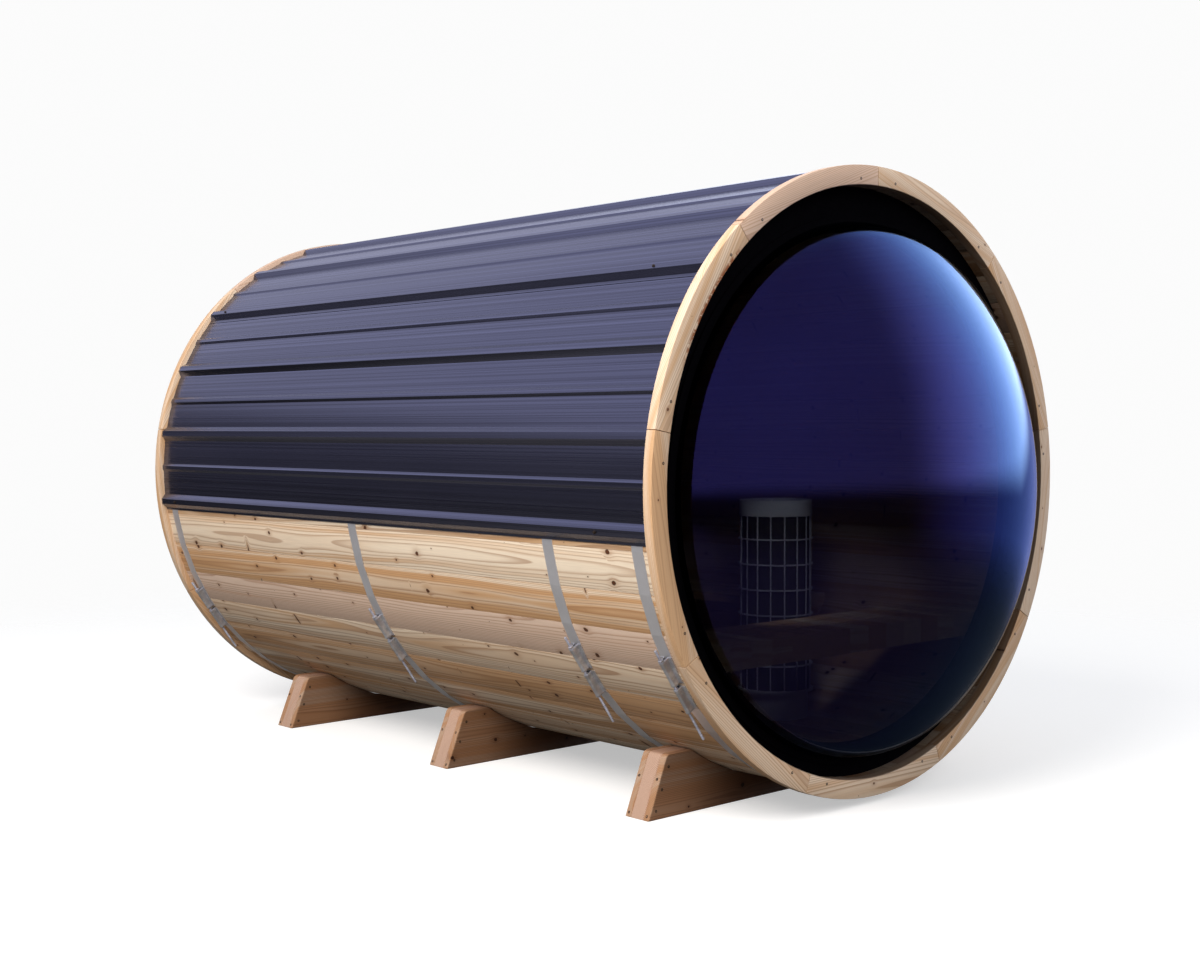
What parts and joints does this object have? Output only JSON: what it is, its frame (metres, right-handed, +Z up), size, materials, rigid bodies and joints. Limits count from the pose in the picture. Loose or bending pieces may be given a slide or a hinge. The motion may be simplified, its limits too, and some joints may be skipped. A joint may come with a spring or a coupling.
{
  "type": "barrel sauna",
  "caption": "Horizontal stave barrel sauna with a domed acrylic front, ribbed steel roof, steel bands and laminated cradles.",
  "frame": {"origin": "on the ground at the middle of the footprint of the overall box, dome included", "axes": "+Y along the barrel from the dome to the back wall, +X across to the right seen from the dome, +Z up"},
  "size_m": [2.1998, 3.6034, 2.224],
  "materials": {
    "stave_wood": "planed cedar, clear matt",
    "ring_wood": "sawn light wood, clear matt",
    "cradle_wood": "planed boards, clear matt",
    "end_wall_wood": "planed boards, clear matt",
    "door_wood": "planed boards, clear matt",
    "floor_wood": "planed slats, bare",
    "bench_wood": "planed slats, bare",
    "black_board": "black paint",
    "tinted_acrylic": "tinted clear acrylic, high gloss",
    "roof_steel": "charcoal coil coat, satin",
    "heater_stone": "rough stone",
    "heater_steel": "brushed",
    "band_steel": "mill finish",
    "tensioner_steel": "zinc plated",
    "hinge_steel": "black powder coat"
  },
  "bodies": {
    "root": {"back_ring": "ring_wood", "back_wall_left": "end_wall_wood", "back_wall_over_door": "end_wall_wood", "back_wall_right": "end_wall_wood", "back_wall_under_door": "end_wall_wood", "band_straps": "band_steel", "bench_bearers": "bench_wood", "cradle_back_cheeks": "cradle_wood", "cradle_back_core": "cradle_wood", "cradle_front_cheeks": "cradle_wood", "cradle_front_core": "cradle_wood", "cradle_middle_cheeks": "cradle_wood", "cradle_middle_core": "cradle_wood", "dome": "tinted_acrylic", "door_boards": "door_wood", "door_frame": "door_wood", "door_handle": "door_wood", "door_hinges": "hinge_steel", "door_ledges": "door_wood", "floor_bearers": "floor_wood", "floor_boards": "floor_wood", "front_bench_fascia": "bench_wood", "front_bench_seat": "bench_wood", "front_ring": "ring_wood", "front_wall": "black_board", "heater_base": "heater_steel", "heater_cage": "heater_steel", "heater_stones": "heater_stone", "heater_top_band": "heater_steel", "left_bench_seat": "bench_wood", "right_bench_seat": "bench_wood", "roof_sheet_left": "roof_steel", "roof_sheet_right": "roof_steel", "roof_sheet_upper_left": "roof_steel", "roof_sheet_upper_right": "roof_steel", "staves_floor": "stave_wood", "staves_left": "stave_wood", "staves_lower_left": "stave_wood", "staves_lower_right": "stave_wood", "staves_right": "stave_wood", "staves_top": "stave_wood", "staves_upper_left": "stave_wood", "staves_upper_right": "stave_wood", "tensioner_pins": "tensioner_steel", "tensioner_rods": "tensioner_steel"}
  },
  "joints": []
}
